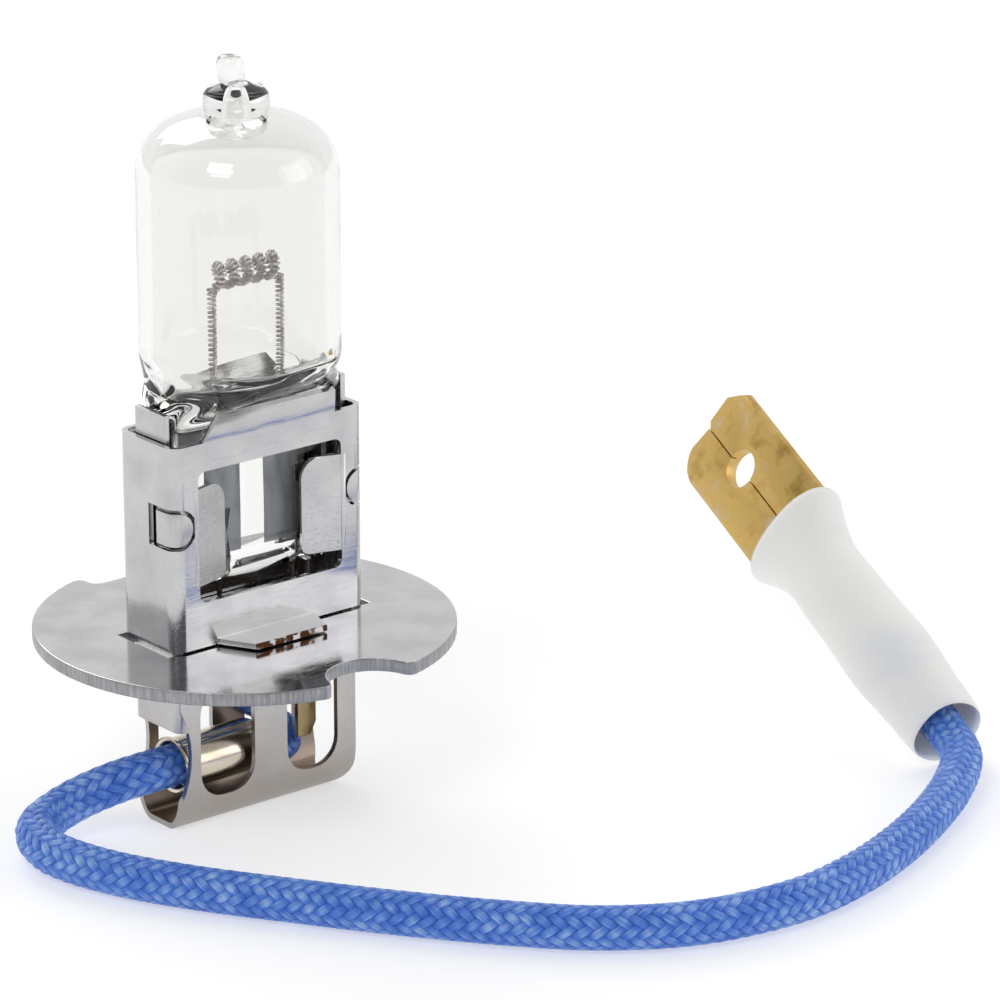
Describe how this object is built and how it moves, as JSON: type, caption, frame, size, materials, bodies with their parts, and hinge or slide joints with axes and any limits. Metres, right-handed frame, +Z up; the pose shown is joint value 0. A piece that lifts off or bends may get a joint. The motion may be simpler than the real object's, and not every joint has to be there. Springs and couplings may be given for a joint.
{
  "type": "headlight bulb",
  "caption": "Halogen headlight bulb with a transverse coil, keyed metal flange, and a short braided lead ending in a sleeved blade terminal.",
  "frame": {"origin": "under the middle of the round flange, on the surface that the yoke's flat bottom and the lead rest on", "axes": "+Z up through the glass to its sealed tip, +X along the filament and the sleeve's wide faces towards the ground side, -Y the front, where the flange's round notch is"},
  "size_m": [0.0531, 0.042, 0.04],
  "materials": {
    "nickel_steel": "bright nickel-plated steel strip with a fine drawn grain",
    "glass": "clear fire-polished quartz, streaky and greyer where it is pressed",
    "tungsten": "grey drawn wire",
    "foil": "dull rolled foil",
    "nickel_silver": "bright turned nickel silver",
    "copper": "dull stranded copper",
    "brass": "rolled brass strip, folded double",
    "braid": "varnished herringbone braid",
    "cover": "translucent soft plastic"
  },
  "bodies": {
    "root": {"flange_disc": "nickel_steel", "focus_sleeve": "nickel_steel", "pinch_cradle": "nickel_steel", "glass_envelope": "glass", "filament": "tungsten", "foil_live": "foil", "foil_ground": "foil", "live_lead": "tungsten", "ground_lead": "tungsten", "ground_tab": "brass", "live_braid": "braid", "lead_ferrule": "nickel_silver", "lead_conductor": "copper", "lead_cord": "braid", "terminal_cover": "cover", "terminal_blade": "brass"}
  },
  "joints": []
}
